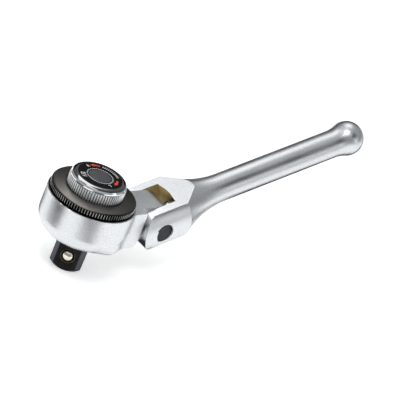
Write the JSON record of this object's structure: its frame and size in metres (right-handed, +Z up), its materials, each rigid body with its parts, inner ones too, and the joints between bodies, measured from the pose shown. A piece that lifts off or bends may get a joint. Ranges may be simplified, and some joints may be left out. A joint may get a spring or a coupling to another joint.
{
  "type": "flex head ratchet",
  "caption": "Flex head ratchet: a round reversible ratchet head with a knurled spinner ring, selector dial and ball release, hinged on a slim turned handle with a round end",
  "frame": {"origin": "centre of the drive square's end face", "axes": "+Z runs up the drive axis to the selector dial, +X runs from the drive axis towards the handle"},
  "size_m": [0.1553, 0.036, 0.0576],
  "materials": {
    "satin_chrome": "satin chrome plate over bead-blasted steel",
    "bright_chrome": "bright chrome plate",
    "black_oxide": "black oxide",
    "tool_steel": "ground steel",
    "spring_steel": "drawn wire",
    "ball_steel": "polished steel",
    "bronze": "sintered bronze",
    "seal_rubber": "moulded nitrile rubber",
    "gloss_black": "glossy black moulding",
    "button_black": "matte black moulding"
  },
  "bodies": {
    "head": {"head_housing": "satin_chrome", "thrust_washer": "bronze", "retaining_ring": "spring_steel", "dust_seal": "seal_rubber"},
    "handle": {"handle": "satin_chrome", "pivot_pin": "black_oxide", "friction_plunger": "tool_steel", "plunger_spring": "spring_steel"},
    "drive": {"drive_spindle": "black_oxide", "carrier_cover": "tool_steel", "cover_screws": "tool_steel", "spinner_ring": "black_oxide", "pawl_pins": "tool_steel", "pawl_spring": "spring_steel", "detent_ball": "ball_steel", "detent_spring": "spring_steel", "release_spring": "spring_steel"},
    "selector": {"selector_dial": "bright_chrome", "selector_cap": "gloss_black", "selector_cam": "tool_steel"},
    "button": {"release_button": "button_black", "release_rod": "tool_steel"},
    "ball": {"locking_ball": "ball_steel"},
    "right_pawl": {"pawl_right": "tool_steel"},
    "left_pawl": {"pawl_left": "tool_steel"}
  },
  "joints": [
    {"name": "flex", "type": "hinge", "parent": "head", "child": "handle", "pos_m": [0.0337, 0, 0.0196], "axis": [0, -1, 0], "range_deg": [-107.7, 72.3]},
    {"name": "drive_spin", "type": "hinge", "parent": "head", "child": "drive", "pos_m": [0, 0, 0], "axis": [0, 0, 1], "continuous": true},
    {"name": "selector_turn", "type": "hinge", "parent": "drive", "child": "selector", "pos_m": [0, 0, 0.036], "axis": [0, 0, 1], "range_deg": [0, 40]},
    {"name": "right_pawl_swing", "type": "hinge", "parent": "drive", "child": "right_pawl", "pos_m": [0.0055, 0.00953, 0.0226], "axis": [0, 0, 1], "range_deg": [0, 9.5]},
    {"name": "left_pawl_swing", "type": "hinge", "parent": "drive", "child": "left_pawl", "pos_m": [0.0055, -0.00953, 0.0226], "axis": [0, 0, 1], "range_deg": [0, 9.5]},
    {"name": "button_press", "type": "slide", "parent": "drive", "child": "button", "axis": [0, 0, -1], "range_m": [0, 0.002], "stiffness_N_per_m": 1500, "springref_m": -0.002, "deforming": ["release_spring"]},
    {"name": "ball_draw", "type": "slide", "parent": "drive", "child": "ball", "axis": [0.7547, 0.6561, 0], "range_m": [0, 0.001]}
  ],
  "couplings": [
    {"joint": "right_pawl_swing", "follows": "selector_turn", "ratio": 0.2375},
    {"joint": "left_pawl_swing", "follows": "selector_turn", "ratio": 0.2375},
    {"joint": "ball_draw", "follows": "button_press", "ratio": 0.5}
  ]
}
